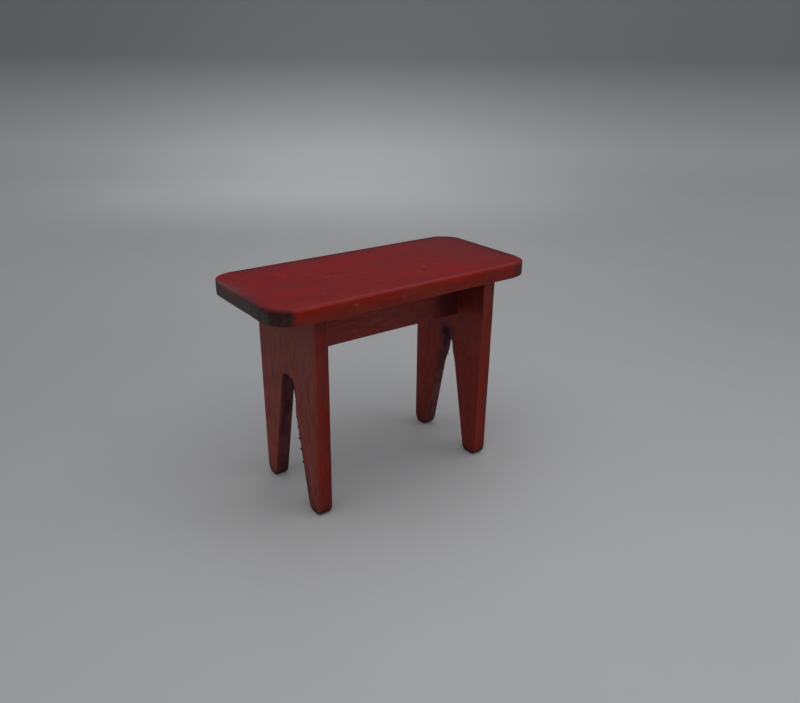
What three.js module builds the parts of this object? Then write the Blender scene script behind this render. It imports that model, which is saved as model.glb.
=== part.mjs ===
// Miniature plank table (bench form) for a 1:12 dolls house: a round-cornered top board on two
// upright end panels, each notched into a pair of legs, with one rail on edge between the panels.
// Millimetres. +X runs along the top, -Y is the front, +Z is up. The origin is on the floor, under
// the middle of the top board.
import * as THREE from "three";

// ---- driving dimensions ------------------------------------------------------------------------
const TOP_LENGTH = 50.0;
const TOP_DEPTH = 23.1;
const TOP_THICKNESS = 2.6;
const HEIGHT = 37.1; // floor to upper face of the top
const TOP_CORNER_RADII = { backRight: 4.1, backLeft: 3.8, frontLeft: 4.6, frontRight: 3.8 };
const TOP_ARRIS = 0.3; // easing of the top board's long and short edges

const PANEL_THICKNESS = 2.5;
const PANEL_WIDTH_AT_TOP = 18.5;
const PANEL_WIDTH_AT_FLOOR = 18.1;
const PANEL_SPREAD = 36.2; // outer face to outer face of the two end panels
const PANEL_CENTRE_Y = -0.65; // the panels stand a little forward of the top's middle line
const PANEL_ARRIS = 0.15;

// Each notch is two straight saw cuts that lean together as they rise, with a rounded head.
const LEFT_NOTCH = { y: -0.52, halfMouth: 6.05, leanDegrees: 12.0, headRadius: 1.6 };
const RIGHT_NOTCH = { y: -0.54, halfMouth: 5.85, leanDegrees: 11.46, headRadius: 1.45 };
const TOE_OUTER_RADIUS = 1.2;
const TOE_INNER_RADIUS = 1.0;

const RAIL_THICKNESS = 2.4;
const RAIL_FRONT_Y = -3.1;
const RAIL_BOTTOM_Z = 26.5;
const RAIL_ARRIS = 0.2;

const ARC_STEPS = 8; // curve divisions of the rounded outlines
const ARRIS_STEPS = 2; // curve divisions of the small edge roundings

// ---- derived sizes -----------------------------------------------------------------------------
const UNDERSIDE_Z = HEIGHT - TOP_THICKNESS;
const PANEL_OUTER_X = PANEL_SPREAD / 2;
const PANEL_INNER_X = PANEL_OUTER_X - PANEL_THICKNESS;

const FINISHES = {
  top: { color: 0x7a2c2f, roughness: 0.42 },
  panel: { color: 0x5a3029, roughness: 0.55 },
  rail: { color: 0x54231e, roughness: 0.55 },
};

function stainedWood(finish) {
  return new THREE.MeshStandardMaterial({ ...finish, metalness: 0 });
}

// ---- outlines ----------------------------------------------------------------------------------
// Draws up to a corner and rounds it: a straight run, then an arc tangent to both sides.
function roundCorner(outline, before, corner, after) {
  const point = new THREE.Vector2(corner.x, corner.y);
  const back = new THREE.Vector2(before.x, before.y).sub(point).normalize();
  const ahead = new THREE.Vector2(after.x, after.y).sub(point).normalize();
  const halfAngle = back.angleTo(ahead) / 2;
  const setback = corner.radius / Math.tan(halfAngle);
  const start = point.clone().addScaledVector(back, setback);
  const end = point.clone().addScaledVector(ahead, setback);
  const bisector = back.clone().add(ahead).normalize();
  const centre = point.clone().addScaledVector(bisector, corner.radius / Math.sin(halfAngle));
  const startAngle = start.clone().sub(centre).angle();
  const endAngle = end.clone().sub(centre).angle();
  const turnsInward = back.cross(ahead) > 0;
  outline.lineTo(start.x, start.y);
  outline.absarc(centre.x, centre.y, corner.radius, startAngle, endAngle, turnsInward);
}

// A closed outline through corners given anticlockwise, each sharp or rounded to its radius.
function roundedOutline(corners) {
  const outline = new THREE.Shape();
  corners.forEach((corner, index) => {
    const before = corners.at(index - 1);
    const after = corners[(index + 1) % corners.length];
    if (corner.radius) {
      if (index === 0) outline.moveTo((before.x + corner.x) / 2, (before.y + corner.y) / 2);
      roundCorner(outline, before, corner, after);
    } else if (index === 0) {
      outline.moveTo(corner.x, corner.y);
    } else {
      outline.lineTo(corner.x, corner.y);
    }
  });
  outline.closePath();
  return outline;
}

// Extrudes a closed outline to an exact thickness, with softened edges on both faces.
function easedBoard(outline, thickness, arris) {
  const geometry = new THREE.ExtrudeGeometry(outline, {
    depth: thickness - 2 * arris,
    bevelEnabled: true,
    bevelThickness: arris,
    bevelSize: arris,
    bevelOffset: -arris,
    bevelSegments: ARRIS_STEPS,
    curveSegments: ARC_STEPS,
  });
  geometry.translate(0, 0, arris);
  return geometry;
}

// Turns an extrusion so that its outline lies in the Y-Z plane and its thickness runs along +X.
function standAcrossX(mesh) {
  const axes = new THREE.Matrix4().makeBasis(
    new THREE.Vector3(0, 1, 0),
    new THREE.Vector3(0, 0, 1),
    new THREE.Vector3(1, 0, 0),
  );
  mesh.rotation.setFromRotationMatrix(axes);
}

// ---- top board ---------------------------------------------------------------------------------
function makeTopBoard() {
  const x = TOP_LENGTH / 2;
  const y = TOP_DEPTH / 2;
  const outline = roundedOutline([
    { x: x, y: y, radius: TOP_CORNER_RADII.backRight },
    { x: -x, y: y, radius: TOP_CORNER_RADII.backLeft },
    { x: -x, y: -y, radius: TOP_CORNER_RADII.frontLeft },
    { x: x, y: -y, radius: TOP_CORNER_RADII.frontRight },
  ]);
  const board = new THREE.Mesh(
    easedBoard(outline, TOP_THICKNESS, TOP_ARRIS),
    stainedWood(FINISHES.top),
  );
  board.name = "top_board";
  board.position.z = UNDERSIDE_Z;
  return board;
}

// ---- end panels: outline x is the row's Y, outline y is its Z ------------------------------------
function panelOutline(notch) {
  const halfTop = PANEL_WIDTH_AT_TOP / 2;
  const halfFloor = PANEL_WIDTH_AT_FLOOR / 2;
  const cutsMeetZ = notch.halfMouth / Math.tan(THREE.MathUtils.degToRad(notch.leanDegrees));
  return roundedOutline([
    { x: PANEL_CENTRE_Y + halfTop, y: UNDERSIDE_Z },
    { x: PANEL_CENTRE_Y - halfTop, y: UNDERSIDE_Z },
    { x: PANEL_CENTRE_Y - halfFloor, y: 0, radius: TOE_OUTER_RADIUS },
    { x: notch.y - notch.halfMouth, y: 0, radius: TOE_INNER_RADIUS },
    { x: notch.y, y: cutsMeetZ, radius: notch.headRadius },
    { x: notch.y + notch.halfMouth, y: 0, radius: TOE_INNER_RADIUS },
    { x: PANEL_CENTRE_Y + halfFloor, y: 0, radius: TOE_OUTER_RADIUS },
  ]);
}

function makeEndPanel(name, notch, lowFaceX) {
  const panel = new THREE.Mesh(
    easedBoard(panelOutline(notch), PANEL_THICKNESS, PANEL_ARRIS),
    stainedWood(FINISHES.panel),
  );
  panel.name = name;
  panel.position.x = lowFaceX;
  standAcrossX(panel);
  return panel;
}

// ---- rail: square ends butt against the panels, lower edges eased --------------------------------
function makeRail() {
  const back = RAIL_FRONT_Y + RAIL_THICKNESS;
  const outline = roundedOutline([
    { x: back, y: UNDERSIDE_Z },
    { x: RAIL_FRONT_Y, y: UNDERSIDE_Z },
    { x: RAIL_FRONT_Y, y: RAIL_BOTTOM_Z, radius: RAIL_ARRIS },
    { x: back, y: RAIL_BOTTOM_Z, radius: RAIL_ARRIS },
  ]);
  const geometry = new THREE.ExtrudeGeometry(outline, {
    depth: 2 * PANEL_INNER_X,
    bevelEnabled: false,
    curveSegments: ARRIS_STEPS,
  });
  const rail = new THREE.Mesh(geometry, stainedWood(FINISHES.rail));
  rail.name = "centre_rail";
  rail.position.x = -PANEL_INNER_X;
  standAcrossX(rail);
  return rail;
}

// ---- assembly: four boards glued edge to face --------------------------------------------------
const table = new THREE.Group();
table.add(makeTopBoard());
table.add(makeEndPanel("left_leg_panel", LEFT_NOTCH, -PANEL_OUTER_X));
table.add(makeEndPanel("right_leg_panel", RIGHT_NOTCH, PANEL_INNER_X));
table.add(makeRail());

export default table;
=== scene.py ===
"""Looks of a 1:12 dolls house plank table: four stained boards, hand sanded and a little worn.

Boards are worked out in millimetres, in their own u, v, w axes: an outline in u and v, and the
thickness along w. They are put into the row frame (X along the top, -Y front, Z up) in metres
when the objects are made.
"""
import itertools
import math

import bpy
import numpy as np
from mathutils import Matrix, Vector, geometry


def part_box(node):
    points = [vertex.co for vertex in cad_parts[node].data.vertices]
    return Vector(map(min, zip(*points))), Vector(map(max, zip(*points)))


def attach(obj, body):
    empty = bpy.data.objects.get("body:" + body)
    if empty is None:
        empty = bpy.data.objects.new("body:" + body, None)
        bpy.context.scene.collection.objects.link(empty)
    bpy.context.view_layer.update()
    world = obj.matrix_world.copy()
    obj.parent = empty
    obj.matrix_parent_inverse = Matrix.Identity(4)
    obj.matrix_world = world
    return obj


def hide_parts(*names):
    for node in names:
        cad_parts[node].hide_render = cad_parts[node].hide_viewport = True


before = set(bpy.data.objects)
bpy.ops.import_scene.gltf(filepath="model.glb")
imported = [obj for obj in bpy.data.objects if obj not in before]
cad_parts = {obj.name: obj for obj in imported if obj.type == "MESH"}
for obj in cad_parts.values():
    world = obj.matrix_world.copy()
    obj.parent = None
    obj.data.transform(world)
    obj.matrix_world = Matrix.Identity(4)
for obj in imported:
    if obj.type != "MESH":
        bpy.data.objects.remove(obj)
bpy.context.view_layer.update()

MM = 0.001

# ---- sizes in millimetres, as in the CAD where the frame's boxes don't give them ---------------------
TOP_CORNERS = {"back_right": 4.1, "back_left": 3.8, "front_left": 4.6, "front_right": 3.8}
PANEL_FOOT_WIDTH = 18.1
LEFT_NOTCH = {"y": -0.52, "half_mouth": 6.05, "lean": 12.0, "head_radius": 1.6}
RIGHT_NOTCH = {"y": -0.54, "half_mouth": 5.85, "lean": 11.46, "head_radius": 1.45}
TOE_OUTER_RADIUS = 1.2
TOE_INNER_RADIUS = 1.0
LEFT_FOOT_SANDED = 0.22  # how much further in the left panel's back leg is sanded at the floor
JOINT_DEPTH = 0.4  # how far a glued board runs on into its neighbour, so that no light shows
HIDDEN_CORNER = 0.4  # radius of the corners inside the joints

SAW_DEPTH = 0.1  # the saw marks on the notch walls
SAW_PITCH = 0.5

EDGE_STEP = 0.14  # spacing of the mesh round the boards' edges
FACE_STEP = 0.32  # and over their faces
ARRIS_ROWS = 5


def box_mm(node):
    """A CAD node's lowest and highest corners in millimetres."""
    low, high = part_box(node)
    return np.array(low) / MM, np.array(high) / MM


# ---- repeatable noise --------------------------------------------------------------------------------
def lattice_value(cells, seed):
    """A pseudo-random number from 0 to 1 for each whole-numbered cell."""
    x, y, z = (cells[:, axis].astype(np.uint32) for axis in range(3))
    mixed = x * np.uint32(73856093) ^ y * np.uint32(19349663) ^ z * np.uint32(83492791)
    mixed ^= np.uint32(seed * 7919 + 17)
    for shift, factor in ((16, 2246822519), (13, 3266489917)):
        mixed = (mixed ^ (mixed >> np.uint32(shift))) * np.uint32(factor)
    return (mixed ^ (mixed >> np.uint32(16))).astype(float) / 0xFFFFFFFF


def smooth_noise(points, size, seed):
    """Noise from 0 to 1 at points, with features about size millimetres across along each axis."""
    scaled = points / np.array(size, float)
    cells = np.floor(scaled).astype(np.int64)
    part = scaled - cells
    part = part * part * (3 - 2 * part)
    total = np.zeros(len(points))
    for corner in itertools.product((0, 1), repeat=3):
        weight = np.where(np.array(corner) == 1, part, 1 - part).prod(axis=1)
        total += weight * lattice_value(cells + corner, seed)
    return total


def noise_along(distance, size, seed):
    """Noise from 0 to 1 along a line."""
    line = np.zeros((len(distance), 3))
    line[:, 0] = distance
    return smooth_noise(line, (size, 1, 1), seed)


def eased(value, start, end):
    """0 before start, 1 beyond end, and a smooth step between them."""
    part = np.clip((value - start) / (end - start), 0, 1)
    return part * part * (3 - 2 * part)


# ---- outlines ----------------------------------------------------------------------------------------
def corner_arc(before, corner, after, radius, step):
    """Points of the arc that rounds a corner, from one side to the other."""
    back = (before - corner).normalized()
    ahead = (after - corner).normalized()
    half_angle = back.angle(ahead) / 2
    centre = corner + (back + ahead).normalized() * (radius / math.sin(half_angle))
    start = corner + back * (radius / math.tan(half_angle)) - centre
    end = corner + ahead * (radius / math.tan(half_angle)) - centre
    first = math.atan2(start.y, start.x)
    turn = math.remainder(math.atan2(end.y, end.x) - first, math.tau)
    steps = max(3, math.ceil(abs(turn) * radius / step))
    angles = [first + turn * k / steps for k in range(steps + 1)]
    return [centre + Vector((math.cos(a), math.sin(a))) * radius for a in angles]


def even_outline(corners, step):
    """Even samples of a closed outline of (u, v, radius) corners given anticlockwise.

    A sample's side is its corner's number on that corner's arc, and half way between two corners'
    numbers on the straight run from one to the next.
    """
    points, labels = [], []
    for index, (u, v, radius) in enumerate(corners):
        before = Vector(corners[index - 1][:2])
        after = Vector(corners[(index + 1) % len(corners)][:2])
        arc = corner_arc(before, Vector((u, v)), after, radius, step / 2)
        points += arc
        labels += [index] * len(arc)
    ring = np.array([tuple(p) for p in points] + [tuple(points[0])])
    labels = np.array(labels + labels[:1], float)
    lengths = np.concatenate([[0], np.cumsum(np.linalg.norm(np.diff(ring, axis=0), axis=1))])
    count = round(lengths[-1] / step)
    along = np.arange(count) * lengths[-1] / count
    even = np.stack([np.interp(along, lengths, ring[:, axis]) for axis in range(2)], axis=1)
    segment = np.searchsorted(lengths, along, side="right") - 1
    on_arc = labels[segment] == labels[segment + 1]
    side = np.where(on_arc, labels[segment], (labels[segment] + 0.5) % len(corners))
    tangent = np.roll(even, -1, axis=0) - np.roll(even, 1, axis=0)
    tangent /= np.linalg.norm(tangent, axis=1)[:, None]
    outward = np.stack([tangent[:, 1], -tangent[:, 0]], axis=1)
    return {"points": even, "outward": outward, "along": along, "side": side}


def share_of(outline, first, last, ease=0.5):
    """1 on an outline's samples from one side number to another, 0 elsewhere, blurred over ease mm."""
    inside_run = ((outline["side"] >= first) & (outline["side"] <= last)).astype(float)
    reach = max(1, round(ease / EDGE_STEP))
    shifts = range(-reach, reach + 1)
    return sum(np.roll(inside_run, shift) for shift in shifts) / len(shifts)


def radii(outline, usual, *stretches):
    """An arris radius for each of an outline's samples, with (first side, last side, radius) exceptions."""
    result = np.full(len(outline["side"]), float(usual))
    for first, last, radius in stretches:
        result += (radius - usual) * share_of(outline, first, last)
    return result


# ---- board meshes ------------------------------------------------------------------------------------
class Slab:
    """One board: where its vertices are, which way they face, and the masks its finish follows.

    For each vertex, sample is the number of the outline sample that it belongs to or lies nearest, and
    rim is how far in from the outline it is. band is 1 on the edge and 0 on the flat faces, and fibre
    is 1 on splinters.
    """

    def __init__(self, outline, thickness, low_arris, high_arris, wander, seed):
        self.thickness = thickness
        self.outline = outline
        along = outline["along"]
        # Hand sanding leaves an arris up to a fifth larger or smaller than it should be.
        low = low_arris * (0.8 + 0.4 * noise_along(along, 3.1, seed + 1))
        high = high_arris * (0.8 + 0.4 * noise_along(along, 2.6, seed + 2))
        inset = wander * noise_along(along, 7.0, seed + 3)
        self.band_vertices(low, high, inset)
        self.faces = self.band_faces()
        self.close_face(row=0, facing=-1, seed=seed + 4)
        self.close_face(row=self.rows - 1, facing=1, seed=seed + 5)
        self.fibre = np.zeros(len(self.place))
        self.masks = {}

    def band_vertices(self, low, high, inset):
        """The rows of vertices across the edge, from the low face over both arrises to the high one."""
        flat, outward = self.outline["points"], self.outline["outward"]
        quarter = np.linspace(0, math.pi / 2, ARRIS_ROWS + 1)
        levels = np.linspace(0, 1, max(2, round(self.thickness / EDGE_STEP)))[1:-1]
        rows = [(low * (1 - math.sin(a)), low * (1 - math.cos(a)), -math.cos(a)) for a in quarter]
        rows += [(0 * low, low + f * (self.thickness - low - high), 0.0) for f in levels]
        rows += [
            (high * (1 - math.sin(a)), self.thickness - high * (1 - math.cos(a)), math.cos(a))
            for a in quarter[::-1]
        ]
        self.rows, self.count = len(rows), len(flat)
        place, normal = [], []
        for back, level, tilt in rows:
            moved = flat - outward * (back + inset)[:, None]
            place.append(np.column_stack([moved, level]))
            lean = math.sqrt(max(0.0, 1 - tilt * tilt))
            normal.append(np.column_stack([outward * lean, np.full(self.count, tilt)]))
        self.place = np.concatenate(place)
        self.normal = np.concatenate(normal)
        self.sample = np.tile(np.arange(self.count), self.rows)
        self.band = 1 - np.abs(self.normal[:, 2])
        self.rim = np.concatenate([back for back, _, _ in rows])

    def band_faces(self):
        """The quads of the edge."""
        n = self.count
        ring = np.arange(n)
        following = (ring + 1) % n
        quads = []
        for row in range(self.rows - 1):
            low, high = row * n, (row + 1) * n
            quads.append(np.column_stack([low + ring, low + following, high + following, high + ring]))
        return np.concatenate(quads).tolist()

    def close_face(self, row, facing, seed):
        """Fills one flat face with near-even triangles."""
        first = row * self.count
        rim = self.place[first:first + self.count, :2]
        inner, distance, nearest = inner_points(rim, FACE_STEP, seed)
        base = len(self.place)
        level = self.thickness if facing > 0 else 0.0
        zeros = np.zeros(len(inner))
        self.place = np.concatenate([self.place, np.column_stack([inner, zeros + level])])
        self.normal = np.concatenate([self.normal, np.column_stack([zeros, zeros, zeros + facing])])
        self.sample = np.concatenate([self.sample, nearest])
        self.band = np.concatenate([self.band, zeros])
        self.rim = np.concatenate([self.rim, distance + self.rim[first + nearest]])
        numbers = np.concatenate([np.arange(first, first + self.count), np.arange(base, base + len(inner))])
        for triangle in fill_outline(rim, inner):
            corners = [int(numbers[k]) for k in triangle]
            self.faces.append(corners if facing > 0 else corners[::-1])

    def add_splinter(self, root, tip, width):
        """A torn fibre: a thin closed spike from inside the board at root to a tip outside it."""
        root, tip = np.array(root, float), np.array(tip, float)
        along = (tip - root) / np.linalg.norm(tip - root)
        not_along = (0.31, 0.22, 0.93)
        across = np.cross(along, not_along)
        across /= np.linalg.norm(across)
        third = np.cross(along, across)
        sides, rings = 5, 4
        base = len(self.place)
        place, normal = [], []
        for ring in range(rings):
            part = ring / rings
            centre = root + (tip - root) * part + across * width * 0.5 * math.sin(2.6 * part)
            for k in range(sides):
                out = across * math.cos(math.tau * k / sides) + third * math.sin(math.tau * k / sides)
                place.append(centre + out * width * 0.5 * (1 - part) ** 0.6)
                normal.append(out)
        place.append(tip + across * width * 0.25)
        normal.append(along)
        for ring in range(rings - 1):
            for k in range(sides):
                a, b = base + ring * sides + k, base + ring * sides + (k + 1) % sides
                self.faces.append([a, b, b + sides, a + sides])
        last = base + (rings - 1) * sides
        point = base + rings * sides
        self.faces += [[last + k, last + (k + 1) % sides, point] for k in range(sides)]
        self.faces.append([base + k for k in reversed(range(sides))])
        added = np.zeros(len(place))
        self.place = np.concatenate([self.place, place])
        self.normal = np.concatenate([self.normal, normal])
        self.sample = np.concatenate([self.sample, added.astype(int)])
        self.band = np.concatenate([self.band, added])
        self.rim = np.concatenate([self.rim, added + 9])
        self.fibre = np.concatenate([self.fibre, added + 1])

    def near(self, first, last, ease=0.5):
        """How far each vertex belongs to the outline from one side number to another."""
        return share_of(self.outline, first, last, ease)[self.sample]

    def arris(self, facing, reach):
        """1 on the arris of the low face (facing -1) or the high one (1), fading over reach mm."""
        height = self.place[:, 2] if facing < 0 else self.thickness - self.place[:, 2]
        return np.exp(-np.hypot(self.rim, np.clip(height, 0, None)) / reach)

    def rim_line(self, inset, width):
        """1 along a line on the high face, inset from the outline, fading over its width."""
        near_face = eased(self.place[:, 2], self.thickness - 0.7, self.thickness - 0.3)
        return near_face * np.exp(-((self.rim - inset) / width) ** 2)

    def sand_faces(self, depth, roll, seed):
        """Hand sanding: both faces wander a little and fall away towards their edges."""
        height = self.place[:, 2] / self.thickness
        fall = roll * np.exp(-self.rim / 1.1)
        for facing, share in ((1, height), (0, 1 - height)):
            worn = fall + depth * smooth_noise(self.place, (7.5, 5.0, 40.0), seed + facing)
            self.place[:, 2] += worn * share * (1 - 2 * facing)

    def press(self, centre, reach, depth, mark=None, strength=1.0):
        """Dents the surface round a point, or raises it where depth is below 0, and marks it."""
        offset = (self.place - np.array(centre)) / np.array(reach, float)
        share = np.clip(1 - (offset ** 2).sum(axis=1), 0, 1) ** 2
        self.place -= self.normal * (depth * share)[:, None]
        if mark:
            self.paint(mark, strength * np.sqrt(share))

    def paint(self, mark, amount):
        """Adds to a mask where the amount is greater than what is there."""
        self.masks[mark] = np.maximum(self.masks.get(mark, 0.0), np.clip(amount, 0, 1))

    def saw(self, where, depth, pitch, seed):
        """Saw marks across the thickness of the edge, cut into it where the mask is 1."""
        spots = np.column_stack([self.outline["along"][self.sample], self.place[:, 2], 0 * self.rim])
        ridges = smooth_noise(spots, (pitch, 2.5, 1), seed)
        rough = smooth_noise(spots, (0.3, 0.35, 1), seed + 1)
        cut = where * self.band * depth * (0.6 * ridges + 0.4 * rough)
        self.place -= self.normal * cut[:, None]


def inner_points(rim, step, seed):
    """Jittered points on a triangular grid inside a closed outline, how far in each is, and the
    number of the outline's point that it is nearest to."""
    low, high = rim.min(axis=0), rim.max(axis=0)
    rise = step * math.sqrt(3) / 2
    lines = np.arange(low[1], high[1], rise)
    grid = np.array([
        (u + (step / 2 if row % 2 else 0), v)
        for row, v in enumerate(lines)
        for u in np.arange(low[0], high[0], step)
    ])
    jitter = np.random.default_rng(seed).uniform(-0.18, 0.18, grid.shape) * step
    grid += jitter
    grid = grid[inside(grid, rim)]
    distance, nearest = [], []
    for part in np.array_split(grid, max(1, len(grid) // 1500)):
        away = np.linalg.norm(part[:, None] - rim[None], axis=2)
        distance.append(away.min(axis=1))
        nearest.append(away.argmin(axis=1))
    distance, nearest = np.concatenate(distance), np.concatenate(nearest)
    keep = distance > 0.6 * step
    return grid[keep], distance[keep], nearest[keep]


def inside(points, rim):
    """Whether each point is inside a closed outline, by counting the sides it lies left of."""
    count = np.zeros(len(points), int)
    for (u0, v0), (u1, v1) in zip(rim, np.roll(rim, -1, axis=0)):
        if v0 == v1:
            continue
        spans = (points[:, 1] >= min(v0, v1)) & (points[:, 1] < max(v0, v1))
        crossing = u0 + (points[:, 1] - v0) * (u1 - u0) / (v1 - v0)
        count += spans & (points[:, 0] < crossing)
    return count % 2 == 1


def fill_outline(rim, inner):
    """Anticlockwise triangles, as numbers into the rim's points followed by the inner ones."""
    points = [Vector(p) for p in np.concatenate([rim, inner]).tolist()]
    count = len(rim)
    sides = [(k, (k + 1) % count) for k in range(count)]
    inside_only = 1
    placed, _, triangles, origin, _, _ = geometry.delaunay_2d_cdt(points, sides, [], inside_only, 1e-7)
    result = []
    for a, b, c in triangles:
        turn = (placed[b] - placed[a]).cross(placed[c] - placed[a])
        corners = [origin[k][0] for k in (a, b, c)]
        result.append(corners if turn > 0 else corners[::-1])
    return result


# ---- materials ---------------------------------------------------------------------------------------
# What a finish reads from a board's vertices, each from 0 to 1. The marks are laid over the stain in the
# order of MARKS: a dull grey, worn and with a painted highlight on the top's left arris, painted shade
# below the top and along the rail, and towards the top's far end; stain rubbed thin, with a painted
# highlight along it; pale, rubbed to bare wood on some arrises, worn and with a painted highlight on the
# top's left arris, and painted light on the panels' faces; dark, painted shade under the top, in corners
# and on arrises turned from the light, and darker on some other arrises and towards the feet; soot, burnt
# or soiled dark at a foot's rim, a notch's arris or its head; torn, broken fibres; chip, bare wood in a
# dent. The others are: edge, away from the flat faces; level, height through the thickness; end, cut across
# the fibres; dust, a grey bloom on end grain; sawn, left from the saw.
MARKS = ("dull", "rub_and_painted_highlight", "pale", "dark_and_painted_shade", "soot", "torn", "chip")
MASKS = ("edge", "level", "end", "dust", "sawn") + MARKS


def tone(red, green, blue):
    """A linear colour from display values of 0 to 255."""
    parts = [c / 255 for c in (red, green, blue)]
    return [c / 12.92 if c <= 0.04045 else ((c + 0.055) / 1.055) ** 2.4 for c in parts] + [1.0]


class Finish:
    """A node material under construction. Every pattern is in millimetres of the row frame."""

    def __init__(self, name):
        self.material = bpy.data.materials.new(name)
        self.material.use_nodes = True
        self.tree = self.material.node_tree
        self.shader = self.tree.nodes["Principled BSDF"]
        coordinates = self.add("TexCoord").outputs["Object"]
        self.place = self.stretch(coordinates, (1 / MM, 1 / MM, 1 / MM))

    def add(self, kind, inputs=(), **settings):
        node = self.tree.nodes.new("ShaderNode" + kind)
        for name, value in settings.items():
            setattr(node, name, value)
        for socket, value in dict(inputs).items():
            self.feed(node.inputs[socket], value)
        return node

    def feed(self, socket, value):
        if isinstance(value, bpy.types.NodeSocket):
            self.tree.links.new(value, socket)
        else:
            socket.default_value = value

    def stretch(self, vector, factors):
        return self.add("VectorMath", {0: vector, 1: factors}, operation="MULTIPLY").outputs[0]

    def shift(self, vector, offset):
        return self.add("VectorMath", {0: vector, 1: offset}, operation="ADD").outputs[0]

    def noise(self, vector, scale, detail=2.0, roughness=0.5, distortion=0.0):
        inputs = {"Vector": vector, "Scale": scale, "Detail": detail, "Roughness": roughness}
        inputs["Distortion"] = distortion
        return self.add("TexNoise", inputs).outputs["Fac"]

    def maths(self, operation, first, second=0.0, clamp=False):
        node = self.add("Math", {0: first, 1: second}, operation=operation, use_clamp=clamp)
        return node.outputs[0]

    def spread(self, value, low, high, to_low=0.0, to_high=1.0):
        """The value eased from one range to another, and held at its ends."""
        inputs = {"Value": value, "From Min": low, "From Max": high}
        inputs.update({"To Min": to_low, "To Max": to_high})
        return self.add("MapRange", inputs, interpolation_type="SMOOTHSTEP").outputs[0]

    def mix(self, share, first, second, blend="MIX"):
        node = self.add("Mix", {0: share, 6: first, 7: second}, data_type="RGBA", blend_type=blend)
        return node.outputs[2]

    def shade(self, colour, amount):
        grey = self.add("CombineColor", {0: amount, 1: amount, 2: amount}).outputs[0]
        return self.mix(1.0, colour, grey, "MULTIPLY")

    def mask(self, name):
        return self.add("Attribute", attribute_name=name).outputs["Fac"]


def grain_patterns(f, fibre, look):
    """The patterns that a board's colour and relief follow, each from 0 to 1.

    fibre holds how much a pattern is squeezed along each axis: small along the fibres.
    """
    blotched = f.stretch(f.place, [math.sqrt(share) for share in fibre])
    shorter = [share * 1.6 if share < 0.5 else share for share in fibre]
    elsewhere = f.shift(blotched, (31.0, 17.0, 43.0))
    grain = {
        "streaks": f.noise(f.stretch(f.place, fibre), 2.6, 5.0, 0.62, 0.25),
        "pores": f.noise(f.stretch(f.place, shorter), 5.5, 2.0),
        "mottle": f.noise(blotched, 2.1, 4.0, 0.68, 0.3),
        "clouds": f.noise(blotched, look["cloud_scale"], 2.0, 0.5, 0.5),
        "tints": f.noise(elsewhere, look["cloud_scale"] * 1.3, 2.0, 0.5, 0.5),
        "speckle": f.noise(f.place, 4.5, 3.0, 0.65),
        "drift": f.noise(f.place, 0.16, 2.0),
    }
    grain["fine"] = f.mix(look["streaking"], grain["mottle"], grain["streaks"])
    return grain


def stain_colour(f, grain, look):
    """The stain: mottled and clouded on the faces, redder and streaked on the edges."""
    face = f.mix(f.spread(grain["fine"], 0.36, 0.64), look["face_dark"], look["face_light"])
    face = f.mix(f.spread(grain["clouds"], 0.48, 0.64, 0.0, look["clouding"]), face, look["cloud"])
    face = f.mix(f.spread(grain["tints"], 0.5, 0.66, 0.0, look["tinting"]), face, look["tint"])
    face = f.mix(f.spread(grain["pores"], 0.6, 0.72, 0.0, look["poring"]), face, look["pore"])
    # Partly painted light: an edge is drawn brighter and more orange on the side turned to the light, the
    # upper half of the top's edge and the left half of a panel's, and darker crimson on the other side; the
    # top's stain is also thinner towards its upper arris.
    edge = f.mix(f.spread(f.mask("level"), 0.3, 0.85), look["edge_low"], look["edge_high"])
    edge = f.mix(f.spread(grain["tints"], 0.44, 0.6, 0.0, 0.6), edge, look["edge_patch"])
    edge = f.shade(edge, f.spread(grain["streaks"], 0.3, 0.7, 0.84, 1.12))
    return f.mix(f.mask("edge"), face, edge)


def add_cut_wood(f, grain, look, colour):
    """The colour with end grain, dusty in places, and sawn wood laid over it."""
    blotches = f.spread(grain["mottle"], 0.3, 0.7)
    end = f.mix(blotches, look["end_dark"], look["end_light"])
    dust = f.mix(blotches, look["dust_dark"], look["dust_light"])
    colour = f.mix(f.mask("end"), colour, f.mix(f.mask("dust"), end, dust))
    sawn = f.mix(f.spread(grain["clouds"], 0.36, 0.66), look["sawn_dark"], look["sawn_light"])
    sawn = f.shade(sawn, f.spread(grain["speckle"], 0.3, 0.7, 0.8, 1.2))
    return f.mix(f.mask("sawn"), colour, sawn)


def add_marks(f, grain, look, colour):
    """The colour with wear, dirt, damage, painted light and painted shade laid over it in patches."""
    patchy = f.spread(grain["mottle"], 0.32, 0.56, 0.6, 1.0)
    for mark in MARKS:
        colour = f.mix(f.maths("MULTIPLY", f.mask(mark), patchy), colour, look[mark])
    return f.shade(colour, f.spread(grain["drift"], 0.3, 0.7, 0.96, 1.05))


def wood_surface(f, grain, gloss):
    """Roughness, greater on raw wood, and the fine relief of the grain."""
    raw = f.maths("MAXIMUM", f.mask("end"), f.maths("MAXIMUM", f.mask("sawn"), f.mask("torn")))
    rough = f.spread(grain["fine"], 0.3, 0.7, gloss, gloss + 0.12)
    rough = f.maths("ADD", rough, f.maths("MULTIPLY", raw, 0.3), clamp=True)
    f.feed(f.shader.inputs["Roughness"], rough)
    streaks, mottle = (f.maths("MULTIPLY", grain[pattern], 0.5) for pattern in ("streaks", "mottle"))
    relief = f.maths("ADD", streaks, mottle)
    relief = f.maths("SUBTRACT", relief, f.spread(grain["pores"], 0.58, 0.72, 0.0, 0.35))
    splintered = f.maths("MULTIPLY", grain["speckle"], f.maths("MULTIPLY", raw, 1.6))
    height = f.maths("ADD", relief, splintered)
    bump = f.add("Bump", {"Height": height, "Strength": 0.6, "Distance": 0.05 * MM})
    f.feed(f.shader.inputs["Normal"], bump.outputs[0])


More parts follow.
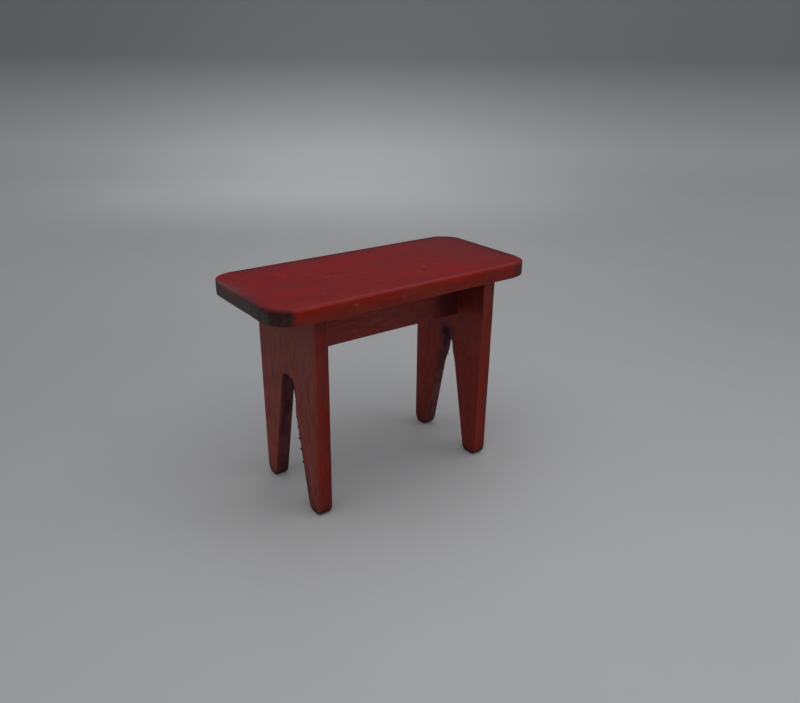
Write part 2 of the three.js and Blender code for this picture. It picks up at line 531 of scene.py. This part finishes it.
def stained_wood(name, fibre, look):
    """Satin red stain on pale close-grained wood, thin on rubbed edges and dark on end grain, with painted
    light and shade over it in places.

    look holds the tones and strengths in which the boards differ.
    """
    f = Finish(name)
    grain = grain_patterns(f, fibre, look)
    colour = stain_colour(f, grain, look)
    colour = add_cut_wood(f, grain, look, colour)
    colour = add_marks(f, grain, look, colour)
    f.feed(f.shader.inputs["Base Color"], colour)
    wood_surface(f, grain, look["gloss"])
    f.shader.inputs["IOR"].default_value = 1.4
    f.shader.inputs["Specular IOR Level"].default_value = 0.2
    return f.material


# How far a pattern is squeezed along each axis.
LENGTHWISE_FIBRES = (0.07, 1.0, 1.0)
UPRIGHT_FIBRES = (1.0, 1.0, 0.1)
TOP_LOOK = {
    "face_dark": tone(122, 26, 29), "face_light": tone(150, 36, 38),
    "cloud": tone(148, 26, 31), "clouding": 0.6, "cloud_scale": 0.26,
    "tint": tone(118, 38, 42), "tinting": 0.6,
    "pore": tone(92, 20, 22), "poring": 0.3, "streaking": 0.35,
    "edge_low": tone(123, 34, 24), "edge_high": tone(147, 26, 5), "edge_patch": tone(122, 42, 28),
    "rub_and_painted_highlight": tone(158, 58, 52), "pale": tone(132, 80, 75), "dull": tone(84, 50, 55),
    "end_dark": tone(46, 29, 28), "end_light": tone(72, 49, 46),
    "dust_dark": tone(62, 57, 56), "dust_light": tone(94, 89, 87),
    "sawn_dark": tone(56, 26, 28), "sawn_light": tone(96, 48, 50),
    "dark_and_painted_shade": tone(46, 9, 13), "soot": tone(34, 14, 13), "torn": tone(76, 50, 55),
    "chip": tone(186, 120, 90), "gloss": 0.42,
}
# The left panel's faces are browner and greyer than the right panel's partly as painted reflection: the
# sheen of the bright room on its outer face, which the right panel's shaded inner face lacks.
LEFT_PANEL_LOOK = {
    **TOP_LOOK,
    "face_dark": tone(118, 49, 39), "face_light": tone(148, 70, 53),
    "cloud": tone(133, 62, 63), "clouding": 0.8, "cloud_scale": 0.6,
    "tint": tone(106, 43, 30), "tinting": 0.75,
    "pore": tone(66, 26, 22), "poring": 0.15, "streaking": 0.35,
    "edge_low": tone(126, 30, 18), "edge_high": tone(112, 25, 23), "edge_patch": tone(110, 42, 32),
    "sawn_dark": tone(65, 35, 37), "sawn_light": tone(93, 51, 54),
    "rub_and_painted_highlight": tone(146, 66, 50), "torn": tone(56, 32, 23), "gloss": 0.5,
}
RIGHT_PANEL_LOOK = {
    **LEFT_PANEL_LOOK,
    "face_dark": tone(118, 39, 32), "face_light": tone(146, 52, 42),
    "cloud": tone(136, 48, 46), "tint": tone(110, 38, 27), "tinting": 0.5, "poring": 0.12,
    "edge_low": tone(132, 32, 17), "edge_high": tone(112, 35, 34),
    "sawn_dark": tone(84, 44, 46), "sawn_light": tone(108, 62, 66), "torn": tone(86, 56, 61),
}
RAIL_LOOK = {
    **TOP_LOOK,
    "face_dark": tone(120, 45, 37), "face_light": tone(148, 61, 52), "poring": 0.12, "streaking": 0.2,
    "cloud": tone(134, 51, 45), "tint": tone(116, 53, 51), "gloss": 0.5,
}


# ---- boards ------------------------------------------------------------------------------------------
# Places and distances are in millimetres, and a panel's heights are above the floor.

# Which way a board's u, v and w axes run in the row frame.
LYING_FLAT = [(1, 0, 0), (0, 1, 0), (0, 0, 1)]
ACROSS_X = [(0, 1, 0), (0, 0, 1), (1, 0, 0)]
FACING_FRONT = [(1, 0, 0), (0, 0, 1), (0, -1, 0)]


def make_board(name, slab, axes, origin, material):
    """The finished object that stands for the CAD node."""
    mesh = bpy.data.meshes.new(name)
    spots = (np.array(origin) + slab.place @ np.array(axes, float)) * MM
    mesh.from_pydata(spots.tolist(), [], slab.faces)
    mesh.shade_smooth()
    slab.paint("edge", slab.band)
    slab.masks["level"] = np.clip(slab.place[:, 2] / slab.thickness, 0, 1)
    slab.paint("torn", slab.fibre)
    for mask in MASKS:
        values = np.broadcast_to(slab.masks.get(mask, 0.0), len(spots)).astype(np.float32)
        mesh.attributes.new(mask, "FLOAT", "POINT").data.foreach_set("value", values)
    mesh.materials.append(material)
    mesh.validate()
    board = bpy.data.objects.new(name + "_wood", mesh)
    bpy.context.scene.collection.objects.link(board)
    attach(board, "root")
    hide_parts(name)
    return board


# Sides of the top's outline: 0 back right corner, 0.5 back edge, 1 back left corner, 1.5 left end,
# 2 front left corner, 2.5 front edge, 3 front right corner, 3.5 right end.
def top_slab(low, high):
    x, y = (high - low)[:2] / 2
    outline = even_outline([
        (x, y, TOP_CORNERS["back_right"]),
        (-x, y, TOP_CORNERS["back_left"]),
        (-x, -y, TOP_CORNERS["front_left"]),
        (x, -y, TOP_CORNERS["front_right"]),
    ], EDGE_STEP)
    lower = radii(outline, 0.1, (0, 0, 0.3), (1, 2, 0.32), (3, 3.5, 0.3))
    upper = radii(outline, 0.2, (1.5, 1.5, 0.35), (2, 2, 0.5), (2.5, 2.5, 0.5), (3, 3, 0.35))
    return Slab(outline, high[2] - low[2], lower, upper, 0.02, seed=11)


def paint_top(slab):
    """Painted shade along the back and right arrises, stain rubbed thin with a painted highlight along the
    front, and dull at the far end.
    """
    paint_top_ends(slab)
    x, y = slab.place[:, 0], slab.place[:, 1]
    upper_face = 1 - slab.band
    back_and_right = slab.near(0, 0.5) + slab.near(3.5, 3.5)
    # Painted shade: the back and right arrises of the upper face drawn dark, as they turn from the light.
    slab.paint("dark_and_painted_shade", 0.95 * slab.arris(1, 0.8) * back_and_right)
    # Painted highlight with stain rubbed thin: a bright pinkish line just in from the front arris, and a
    # brighter rim inside the front and front left edges.
    slab.paint("rub_and_painted_highlight", slab.rim_line(0.55, 0.25) * (slab.near(2.5, 2.5) + 0.7 * slab.near(3, 3)))
    front_rim = np.exp(-slab.rim / 2.0) * slab.near(2, 2.5) * eased(-x, -4.0, 12.0)
    slab.paint("rub_and_painted_highlight", 0.35 * front_rim * upper_face)
    slab.paint("dull", 0.35 * eased(x + 0.8 * y, 2.0, 28.0) * upper_face)


def paint_top_ends(slab):
    """End grain: dusty at the left under a worn arris with a painted highlight, darkest on the front left
    corner, weak at the right.
    """
    x, y = slab.place[:, 0], slab.place[:, 1]
    cut_across = eased(-x, 21.3, 22.6)
    slab.paint("end", (slab.near(1, 2) * cut_across + 0.55 * slab.near(3, 3.5)) * slab.band)
    slab.paint("dust", slab.near(1, 1.5, 1.2))
    slab.paint("dust", slab.near(2, 2) * eased(-x, 24.4, 25.0))
    worn = smooth_noise(slab.place, (1.2, 1.2, 1.2), 25)
    # Worn stain with a painted highlight: the left end's upper arris drawn grey-pink and pale.
    slab.paint("dull", slab.arris(1, 0.6 + 0.5 * worn) * slab.near(1.5, 1.5, 0.8))
    slab.paint("pale", slab.arris(1, 0.45 + 0.4 * worn) * slab.near(1.5, 1.5) * eased(y, -5.0, 5.0))
    slab.paint("dark_and_painted_shade", slab.arris(1, 0.65) * slab.near(2, 2, 0.2) * cut_across)
    slab.paint("dark_and_painted_shade", 0.4 * slab.arris(-1, 0.9) * slab.near(3, 3.5))


def mark_top(slab):
    """Small dents: bare chips along the front edge, and dull scuffs on the upper face."""
    front, upper = slab.place[:, 1].min(), slab.thickness
    for x, below, size, depth, strength in (
        (-11.5, 1.0, 0.45, 0.14, 0.32), (-7.5, 2.4, 0.4, 0.12, 0.2), (-2.7, 1.4, 0.32, 0.08, 0.2),
        (-16.2, 2.45, 0.35, 0.1, 0.1), (3.4, 2.5, 0.3, 0.08, 0.1), (13.0, 0.2, 0.35, 0.1, 0.1),
    ):
        slab.press((x, front, upper - below), (size, 0.6, size * 0.7), depth, "chip", strength)
    for x, y, long, wide, strength in (
        (7.1, -3.8, 0.45, 0.4, 0.45), (-9.3, 0.3, 1.1, 0.35, 0.2), (-8.2, -0.3, 0.7, 0.35, 0.2),
        (-14.4, -6.6, 0.5, 0.4, 0.15), (4.6, -6.1, 0.8, 0.5, 0.15),
    ):
        slab.press((x, y, upper), (long, wide, 0.5), 0.03, "chip", strength)


def top_board():
    low, high = box_mm("top_board")
    slab = top_slab(low, high)
    slab.sand_faces(0.02, 0.02, seed=21)
    mark_top(slab)
    paint_top(slab)
    material = stained_wood("top_stain", LENGTHWISE_FIBRES, TOP_LOOK)
    return make_board("top_board", slab, LYING_FLAT, (0, 0, low[2]), material)


# Sides of a panel's outline: 0 top back, 1 top front, 1.5 front narrow edge, 2 front of the front toe,
# 2.5 its bottom, 3 its back, 3.5 front wall of the notch, 4 head, 4.5 back wall of the notch, 5 front
# of the back toe, 5.5 its bottom, 6 its back, 6.5 back narrow edge.
def panel_slab(low, high, notch, foot_sanded, low_arris, high_arris, seed):
    height = high[2] + JOINT_DEPTH
    middle = (low[1] + high[1]) / 2
    half_top = (high[1] - low[1]) / 2
    half_foot = PANEL_FOOT_WIDTH / 2
    outline = even_outline([
        (middle + half_top, height, HIDDEN_CORNER),
        (middle - half_top, height, HIDDEN_CORNER),
        (middle - half_foot, 0, TOE_OUTER_RADIUS),
        (notch["y"] - notch["half_mouth"], 0, TOE_INNER_RADIUS),
        (notch["y"], cuts_meet(notch), notch["head_radius"]),
        (notch["y"] + notch["half_mouth"], 0, TOE_INNER_RADIUS),
        (middle + half_foot - foot_sanded, 0, TOE_OUTER_RADIUS),
    ], EDGE_STEP)
    low_radii = radii(outline, 0.13, (1.5, 1.5, low_arris), (2, 3, 0.35), (5, 6, 0.4))
    high_radii = radii(outline, 0.13, (1.5, 1.5, high_arris), (2, 3, 0.35), (5, 6, 0.4))
    slab = Slab(outline, high[0] - low[0], low_radii, high_radii, 0.02, seed)
    slab.sand_faces(0.02, 0.01, seed + 6)
    return slab


def cuts_meet(notch):
    """How high a notch's two saw cuts would meet."""
    return notch["half_mouth"] / math.tan(math.radians(notch["lean"]))


def notch_side(notch, height, side):
    """Where a notch's front (side -1) or back (1) wall is at a height."""
    return notch["y"] + side * (cuts_meet(notch) - height) * math.tan(math.radians(notch["lean"]))


def head_centre(notch):
    """How high the centre of a notch's round head is."""
    return cuts_meet(notch) - notch["head_radius"] / math.sin(math.radians(notch["lean"]))


def paint_panel(slab, seed):
    """Sawn notch walls, feet with dark rims, and a front narrow edge with rubbed stain and a painted
    highlight.
    """
    notch_walls = slab.near(3, 5)
    slab.saw(notch_walls, SAW_DEPTH, SAW_PITCH, seed + 8)
    slab.paint("sawn", notch_walls * slab.band * (0.35 + 0.65 * eased(slab.place[:, 2], 0.1, 0.6)))
    slab.paint("pale", 0.25 * notch_walls * slab.band * slab.arris(-1, 0.3))
    height = slab.place[:, 1]
    rim = smooth_noise(slab.place, (0.8, 0.8, 0.8), seed + 9)
    slab.paint("soot", np.exp(-np.clip(height - 0.5 * rim, 0, None) / 0.85))
    slab.paint("end", 0.6 * (slab.near(2, 3) + slab.near(5, 6)) * slab.band)
    front_edge = slab.near(1.5, 1.5)
    slab.paint("edge", 0.75 * np.exp(-slab.rim / 0.6) * front_edge)
    # Painted highlight over thinner stain: the front narrow edge's arris on the lit side drawn brighter,
    # fading out towards the top, where the top shades it.
    slab.paint("rub_and_painted_highlight", 0.2 * slab.arris(-1, 0.2) * front_edge * (1 - eased(height, 21.0, 27.0)))


def left_leg_panel():
    low, high = box_mm("left_leg_panel")
    slab = panel_slab(low, high, LEFT_NOTCH, LEFT_FOOT_SANDED, 0.32, 0.14, seed=31)
    widen_left_head(slab)
    fringe_left_notch(slab)
    paint_panel(slab, seed=31)
    paint_left_panel(slab)
    material = stained_wood("left_panel_stain", UPRIGHT_FIBRES, LEFT_PANEL_LOOK)
    return make_board("left_leg_panel", slab, ACROSS_X, (low[0], 0, 0), material)


def paint_left_panel(slab):
    """Painted light on the faces towards the top, painted shade on the upper front edge, and a singed arris
    on the front leg.
    """
    height = slab.place[:, 1]
    # Painted light: the faces drawn paler and pinker towards the top, lifting the top's shadow on them.
    slab.paint("pale", 0.5 * eased(height, 13.0, 31.0) * (1 - slab.band))
    narrow_edge = slab.near(1.5, 1.5) * slab.band
    outer_side = 1 - eased(slab.place[:, 2], 0.4, 1.8)
    # Painted shade: the front narrow edge drawn duller and browner under the top, most on its outer side.
    slab.paint("dull", 0.22 * eased(height, 20.0, 28.0) * narrow_edge)
    slab.paint("dull", 0.4 * eased(height, 24.5, 30.5) * outer_side * narrow_edge)
    reach = 0.3 + 0.5 * (1 - eased(height, 3.0, 9.0))
    slab.paint("soot", slab.arris(-1, reach) * slab.near(3.5, 3.5) * (1 - eased(height, 13.0, 17.0)))


def widen_left_head(slab):
    """The round head swells a little into the front leg."""
    deepest = 19.7
    slab.press((notch_side(LEFT_NOTCH, deepest, -1), deepest, 0.5), (1.4, 4.0, 4.5), 0.38)
    shoulder = 0.7 * LEFT_NOTCH["head_radius"]
    spot = (LEFT_NOTCH["y"] - shoulder, head_centre(LEFT_NOTCH) + shoulder, 0.5)
    slab.press(spot, (1.1, 1.1, 4.5), 0.16)


def fringe_left_notch(slab):
    """Fibres that the saw left standing along the outer arris of the front leg."""
    for height, length in ((16.0, 0.3), (14.3, 0.4), (13.0, 0.35), (12.3, 0.65), (10.5, 0.65), (8.3, 0.5)):
        y = notch_side(LEFT_NOTCH, height, -1)
        slab.add_splinter((y - 0.3, height + 0.15, 0.25), (y + length, height - 0.1, 0.06), 0.7)


def right_leg_panel():
    low, high = box_mm("right_leg_panel")
    slab = panel_slab(low, high, RIGHT_NOTCH, 0.0, 0.2, 0.16, seed=46)
    tear_right_notch(slab)
    paint_panel(slab, seed=46)
    paint_right_panel(slab)
    paint_torn_head(slab)
    material = stained_wood("right_panel_stain", UPRIGHT_FIBRES, RIGHT_PANEL_LOOK)
    return make_board("right_leg_panel", slab, ACROSS_X, (low[0], 0, 0), material)


def paint_right_panel(slab):
    """Painted light in a band on the faces by the notch's head, a paler upper front edge, a painted shadow
    of the top on the faces just under it, and both legs darker towards the bottom.
    """
    height = slab.place[:, 1]
    flat = 1 - slab.band
    back_leg = eased(slab.place[:, 0], -2.0, 2.0)
    # Painted light: a lit band on the faces below the top's shadow line.
    slab.paint("pale", 0.16 * eased(height, 19.0, 23.0) * (1 - eased(height, 26.0, 30.0)) * flat)
    slab.paint("pale", 0.25 * eased(height, 26.0, 32.0) * slab.near(1.5, 1.5) * slab.band)
    # Painted shadow: the faces drawn darker just under the top, where its overhang shades them.
    slab.paint("dark_and_painted_shade", 0.4 * eased(height, 27.5, 29.5) * flat)
    slab.paint("dark_and_painted_shade", (0.15 + 0.22 * back_leg) * (1 - eased(height, 2.0, 6.0 + 6.0 * back_leg)) * flat)
    slab.paint("dark_and_painted_shade", 0.09 * (1 - back_leg) * (1 - eased(height, 12.0, 19.0)) * flat)


def paint_torn_head(slab):
    """Dark, grey-edged fibres round the notch's head."""
    u, height = slab.place[:, 0], slab.place[:, 1]
    outside = np.hypot(u - RIGHT_NOTCH["y"], height - head_centre(RIGHT_NOTCH)) - RIGHT_NOTCH["head_radius"]
    ragged = outside + 0.8 * smooth_noise(slab.place, (0.5, 0.9, 1.0), 57)
    upper = eased(height, 20.6, 21.6)
    slab.paint("soot", 0.9 * (1 - eased(ragged, 0.2, 1.2)) * upper)
    slab.paint("torn", 0.8 * (1 - eased(ragged, 0.8, 2.0)) * upper * (1 - slab.band))


def tear_right_notch(slab):
    """A ragged head that bulges inwards, with torn fibres in it and down the back wall."""
    middle, radius = RIGHT_NOTCH["y"], RIGHT_NOTCH["head_radius"]
    front_wall = notch_side(RIGHT_NOTCH, 19.5, -1)
    back_wall = notch_side(RIGHT_NOTCH, 18.0, 1)
    slab.press((middle - 0.95 * radius, head_centre(RIGHT_NOTCH) + 0.5, 0.5), (1.0, 1.6, 2.5), -0.5)
    slab.press((front_wall, 19.5, 0.3), (1.0, 3.5, 1.5), -0.14)
    slab.press((back_wall, 18.0, slab.thickness), (1.2, 4.5, 2.0), -0.34)
    draw = np.random.default_rng(58)
    hang_head_fibres(slab, draw, 60)
    fringe_back_wall(slab, draw, 30)


def hang_head_fibres(slab, draw, count):
    """Torn fibres that hang from the right notch's round head."""
    for _ in range(count):
        angle = (0.1 + 0.88 * draw.uniform(0, 1) ** 0.6) * math.pi
        y = RIGHT_NOTCH["y"] + RIGHT_NOTCH["head_radius"] * math.cos(angle)
        z = head_centre(RIGHT_NOTCH) + RIGHT_NOTCH["head_radius"] * math.sin(angle)
        depth = draw.uniform(0.1, 0.95) * slab.thickness
        tip = (y + draw.uniform(0.0, 0.5), z - draw.uniform(0.6, 1.9), depth)
        slab.add_splinter((y - 0.1, z + 0.3, depth), tip, draw.uniform(0.25, 0.5))


def fringe_back_wall(slab, draw, count):
    """Torn fibres down the upper part of the right notch's back wall, thickest near its head."""
    for _ in range(count):
        height = 22.0 - 9.0 * draw.uniform(0, 1) ** 1.5
        y = notch_side(RIGHT_NOTCH, height, 1)
        depth = draw.uniform(0.4, 0.97) * slab.thickness
        tip = (y - draw.uniform(0.05, 0.28), height - draw.uniform(0.6, 1.6), depth)
        slab.add_splinter((y + 0.3, height + 0.4, depth), tip, draw.uniform(0.2, 0.4))


def centre_rail():
    low, high = box_mm("centre_rail")
    x = high[0] + JOINT_DEPTH
    top, bottom = high[2] + JOINT_DEPTH, low[2]
    corners = [(u, v, HIDDEN_CORNER) for u, v in ((x, top), (-x, top), (-x, bottom), (x, bottom))]
    outline = even_outline(corners, EDGE_STEP)
    slab = Slab(outline, high[1] - low[1], radii(outline, 0.15), radii(outline, 0.18), 0.02, seed=61)
    slab.sand_faces(0.02, 0.01, seed=66)
    x, ragged = slab.place[:, 0], smooth_noise(slab.place, (1.5, 1.0, 1.0), 68)
    # Duller towards the right, then painted shade: dark over the last few millimetres by the right panel,
    # in the corner under the top.
    slab.paint("dull", 0.25 * eased(x, -10.0, 4.0))
    slab.paint("dark_and_painted_shade", 0.78 * eased(x + 1.2 * ragged, 9.6, 13.2))
    material = stained_wood("rail_stain", LENGTHWISE_FIBRES, RAIL_LOOK)
    return make_board("centre_rail", slab, FACING_FRONT, (0, high[1], 0), material)


# ---- room: camera, floor and lights ------------------------------------------------------------------
CAMERA_AZIMUTH = -36.79
CAMERA_ELEVATION = 22.74
CAMERA_ROLL = 0.70
CAMERA_PLACE = (-0.067805, -0.097525, 0.07163)
CAMERA_LENS = 32.98


def look_back(azimuth, elevation):
    """The unit vector from the object towards a camera at these angles in degrees."""
    a, e = math.radians(azimuth), math.radians(elevation)
    return Vector((math.sin(a) * math.cos(e), -math.cos(a) * math.cos(e), math.sin(e)))


def make_camera():
    camera = bpy.data.objects.new("camera", bpy.data.cameras.new("camera"))
    bpy.context.scene.collection.objects.link(camera)
    bpy.context.scene.camera = camera
    back = look_back(CAMERA_AZIMUTH, CAMERA_ELEVATION)
    aim = (-back).to_track_quat("-Z", "Y").to_matrix()
    turn = Matrix.Rotation(math.radians(CAMERA_ROLL), 3, "Z")
    camera.matrix_world = Matrix.Translation(CAMERA_PLACE) @ (aim @ turn).to_4x4()
    camera.data.lens = CAMERA_LENS
    camera.data.sensor_width = 36
    camera.data.clip_start = 0.001
    camera.data.clip_end = 20


def studio_sweep():
    """A floor that curves up into a wall far behind the table, square to the camera's line of sight."""
    near, bend_start, bend_radius, wall_height, half_width = -1.6, 0.3, 0.28, 1.2, 2.4
    profile = [(near, 0.0), (-0.5, 0.0), (0.0, 0.0), (bend_start, 0.0)]
    bend_steps = 40
    for k in range(1, bend_steps + 1):
        angle = math.pi / 2 * k / bend_steps
        profile.append((bend_start + bend_radius * math.sin(angle), bend_radius * (1 - math.cos(angle))))
    profile.append((bend_start + bend_radius, wall_height))
    away = Vector((-math.sin(math.radians(CAMERA_AZIMUTH)), math.cos(math.radians(CAMERA_AZIMUTH)), 0))
    across = Vector((away.y, -away.x, 0))
    vertices = [away * d + across * s * half_width + Vector((0, 0, z)) for d, z in profile for s in (-1, 1)]
    faces = [(2 * k, 2 * k + 1, 2 * k + 3, 2 * k + 2) for k in range(len(profile) - 1)]
    mesh = bpy.data.meshes.new("studio_sweep")
    mesh.from_pydata(vertices, [], faces)
    mesh.shade_smooth()
    mesh.materials.append(sweep_card())
    sweep = bpy.data.objects.new("studio_sweep", mesh)
    bpy.context.scene.collection.objects.link(sweep)


# Centres of the light painted on the card, in millimetres: in front of the table, and behind it.
PAINTED_LIGHT_IN_FRONT = (0.0, -73.0, 0.0)
PAINTED_LIGHT_BEHIND = (75.0, 105.0, 0.0)
# Painted shade: the card's tone up the wall, darker than the floor.
SHADED_WALL_TONE = (0.19, 0.192, 0.197, 1)


def sweep_card():
    """Plain pale matt card, painted light in front of and behind the table, painted shade up the wall."""
    f = Finish("sweep_card")
    mottle = f.noise(f.place, 0.05, 3.0, 0.5)
    card = f.mix(mottle, (0.51, 0.515, 0.52, 1), (0.53, 0.535, 0.54, 1))
    # Painted light: the card paler round each spot, falling off further away.
    for spot, near, far, at_spot, beyond in (
        (PAINTED_LIGHT_IN_FRONT, 20.0, 170.0, 1.07, 0.84),
        (PAINTED_LIGHT_BEHIND, 10.0, 140.0, 1.16, 1.0),
    ):
        away = f.add("VectorMath", {0: f.place, 1: spot}, operation="DISTANCE").outputs["Value"]
        card = f.shade(card, f.spread(away, near, far, at_spot, beyond))
    height = f.add("SeparateXYZ", {0: f.place}).outputs["Z"]
    up_wall = f.add("MapRange", {"Value": height, "From Min": 8.0, "From Max": 62.0}).outputs[0]
    f.feed(f.shader.inputs["Base Color"], f.mix(up_wall, card, SHADED_WALL_TONE))
    f.shader.inputs["Roughness"].default_value = 0.6
    return f.material


def area_light(name, place, target, size, watts, spread=180):
    """A rectangular lamp at place, facing target, in metres. spread is its beam's angle in degrees."""
    data = bpy.data.lights.new(name, "AREA")
    data.shape = "RECTANGLE"
    data.size, data.size_y = size
    data.energy = watts
    data.spread = math.radians(spread)
    lamp = bpy.data.objects.new(name, data)
    lamp.location = place
    lamp.rotation_mode = "QUATERNION"
    lamp.rotation_quaternion = (Vector(target) - Vector(place)).to_track_quat("-Z", "Y")
    bpy.context.scene.collection.objects.link(lamp)


def light_room():
    """A wide lamp over the table, a small one that lights the floor behind it, and a pale room."""
    area_light("overhead", (0.05, -0.12, 0.6), (0.02, -0.06, 0.0), (1.0, 1.0), 2.45)
    area_light("backdrop_glow", (0.077, 0.153, 0.16), (0.175, 0.3, 0.0), (0.2, 0.1), 0.059, spread=80)
    world = bpy.data.worlds.new("room")
    world.use_nodes = True
    background = world.node_tree.nodes["Background"]
    background.inputs["Color"].default_value = (0.95, 0.965, 1.0, 1)
    background.inputs["Strength"].default_value = 0.345
    bpy.context.scene.world = world
    bpy.context.scene.view_settings.view_transform = "Standard"


make_camera()
studio_sweep()
light_room()
top_board()
left_leg_panel()
right_leg_panel()
centre_rail()
